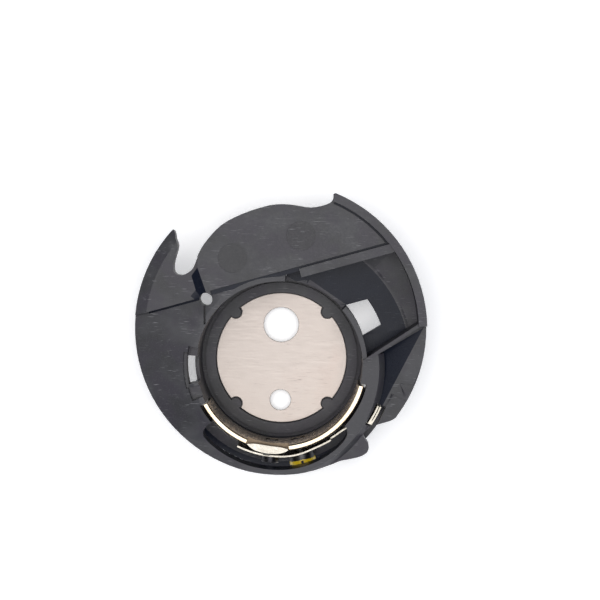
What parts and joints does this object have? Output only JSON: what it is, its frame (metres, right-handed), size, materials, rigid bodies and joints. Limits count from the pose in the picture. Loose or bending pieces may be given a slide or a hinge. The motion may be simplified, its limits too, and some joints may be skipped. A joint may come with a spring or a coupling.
{
  "type": "bobbin case",
  "caption": "Drop-in bobbin case: round cup with a steel seat plate, offset race flange with a thread guide horn, and a thread plate with an adjustable leaf tension spring at the front.",
  "frame": {"origin": "on the axis of the bobbin cup, at the underside of the cup floor", "axes": "+Z out of the open mouth of the cup; +Y to the raised back of the flange; -Y to the tension spring at the front"},
  "size_m": [0.0443, 0.0429, 0.0139],
  "materials": {
    "case_plastic": "moulded charcoal plastic, fine grain, satin",
    "seat_steel": "brushed warm light grey plate",
    "thread_steel": "polished steel with a rounded bright edge",
    "spring_steel": "polished spring steel leaf",
    "dark_screw": "blackened steel, cross recess",
    "marked_screw": "yellow locking paint on a slotted head"
  },
  "bodies": {
    "case": {"case_body": "case_plastic", "seat_plate": "seat_steel", "thread_plate": "thread_steel", "spring_set_screw": "dark_screw"},
    "spring": {"tension_spring": "spring_steel"},
    "tension_screw": {"tension_adjusting_screw": "marked_screw"}
  },
  "joints": [
    {"name": "spring_flex", "type": "hinge", "parent": "case", "child": "spring", "pos_m": [-0.00149, -0.0142, 0.0066], "axis": [0, 0, 1], "range_deg": [-1, 0], "stiffness_Nm_per_rad": 0.2, "springref_deg": 1.49},
    {"name": "tension_screw_turn", "type": "hinge", "parent": "case", "child": "tension_screw", "pos_m": [0.00316, -0.01425, 0.0066], "axis": [0.2164, -0.9763, 0], "range_deg": [-180, 180]}
  ]
}
